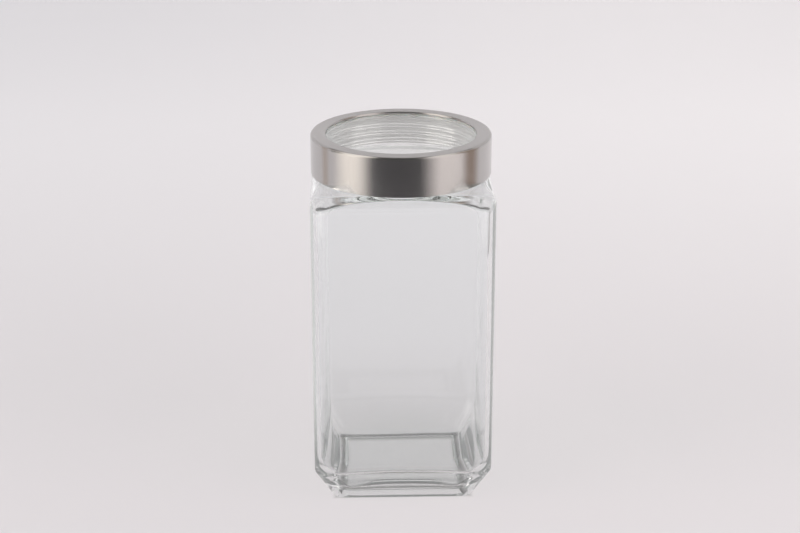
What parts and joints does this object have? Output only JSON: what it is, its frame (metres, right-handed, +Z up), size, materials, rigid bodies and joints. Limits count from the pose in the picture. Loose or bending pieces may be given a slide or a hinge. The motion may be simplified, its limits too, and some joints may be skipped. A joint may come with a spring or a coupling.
{
  "type": "glass storage jar",
  "caption": "Square clear-glass storage jar with rounded corners, a bevelled heel and a round neck, closed by a steel-banded screw lid with a clear window.",
  "frame": {"origin": "middle of the base, on the plane the jar stands on", "axes": "+Z up along the lid's axis, X and Y across the flat sides"},
  "size_m": [0.1, 0.1, 0.205],
  "materials": {
    "clear_glass": "clear, fire-polished",
    "seal": "translucent, smooth",
    "brushed_steel": "brushed round the lid",
    "clear_plastic": "clear, glossy"
  },
  "bodies": {
    "jar": {"glass_jar": "clear_glass"},
    "seal": {"lid_seal": "seal"},
    "lid": {"lid_band": "brushed_steel", "lid_insert": "clear_plastic"}
  },
  "joints": [
    {"name": "lid_lift", "type": "slide", "parent": "jar", "child": "seal", "axis": [0, 0, 1], "range_m": [0, 0.0252]},
    {"name": "lid_turn", "type": "hinge", "parent": "seal", "child": "lid", "pos_m": [0, 0, 0.194], "axis": [0, 0, 1], "range_deg": [0, 2160]}
  ],
  "couplings": [
    {"joint": "lid_lift", "follows": "lid_turn", "m_per_rad": 0.00066845}
  ]
}
